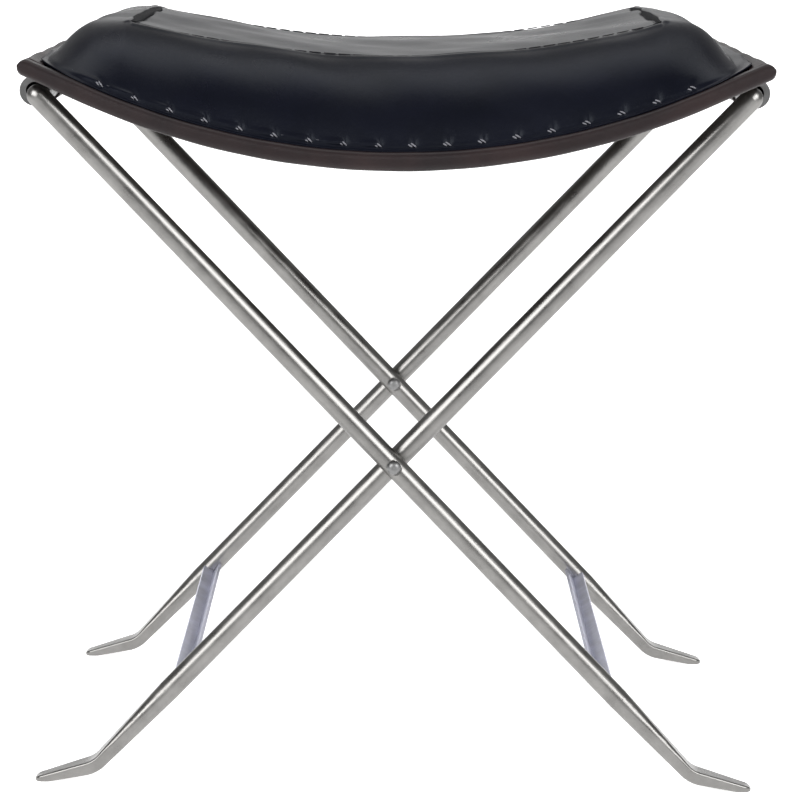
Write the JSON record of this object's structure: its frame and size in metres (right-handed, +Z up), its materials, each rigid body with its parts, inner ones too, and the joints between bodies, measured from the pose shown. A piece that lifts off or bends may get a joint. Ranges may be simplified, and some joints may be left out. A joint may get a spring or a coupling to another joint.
{
  "type": "x frame stool",
  "caption": "Folding X-frame stool with round steel legs, splayed forged feet, angle stretchers and a padded, stitched leather sling seat.",
  "frame": {"origin": "on the floor, under the middle of the seat", "axes": "+X across the seat from one cross tube to the other, +Y from front to back along the cross tubes, +Z up"},
  "size_m": [0.4736, 0.374, 0.4921],
  "materials": {
    "leg_steel": "brushed, satin",
    "tube_steel": "brushed, satin",
    "angle_steel": "satin",
    "rivet_steel": "satin",
    "cover_leather": "semi-gloss, fine grain",
    "binding_leather": "semi-gloss",
    "sling_leather": "satin, sueded underside",
    "foam": "open-cell foam",
    "thread": "waxed thread"
  },
  "bodies": {
    "frame_a": {"leg_a_front": "leg_steel", "leg_a_back": "leg_steel", "stretcher_a": "angle_steel", "cross_tube_a": "tube_steel", "rivet_front": "rivet_steel", "rivet_back": "rivet_steel"},
    "frame_b": {"leg_b_front": "leg_steel", "leg_b_back": "leg_steel", "stretcher_b": "angle_steel", "cross_tube_b": "tube_steel"},
    "seat": {"sling_base": "sling_leather", "tube_loop_a": "binding_leather", "tube_loop_b": "binding_leather", "edge_binding_front": "binding_leather", "edge_binding_back": "binding_leather", "end_binding_left": "binding_leather", "end_binding_right": "binding_leather", "foam_pad": "foam", "cover_border": "cover_leather", "cover_top_panel": "cover_leather", "edge_stitching_front": "thread", "edge_stitching_back": "thread", "cross_stitching_left": "thread", "cross_stitching_right": "thread", "loop_stitching_a": "thread", "loop_stitching_b": "thread"}
  },
  "joints": [
    {"name": "fold", "type": "hinge", "parent": "frame_a", "child": "frame_b", "pos_m": [0, 0, 0.2118], "axis": [0, -1, 0], "range_deg": [0, 60]},
    {"name": "seat_swing", "type": "hinge", "parent": "frame_a", "child": "seat", "pos_m": [-0.22502, 0, 0.44727], "axis": [0, -1, 0], "range_deg": [0, 30], "deforming": ["sling_base", "tube_loop_a", "tube_loop_b", "edge_binding_front", "edge_binding_back", "end_binding_left", "end_binding_right", "foam_pad", "cover_border", "cover_top_panel", "edge_stitching_front", "edge_stitching_back", "cross_stitching_left", "cross_stitching_right", "loop_stitching_a", "loop_stitching_b"]}
  ],
  "couplings": [
    {"joint": "seat_swing", "follows": "fold", "ratio": 0.5}
  ]
}
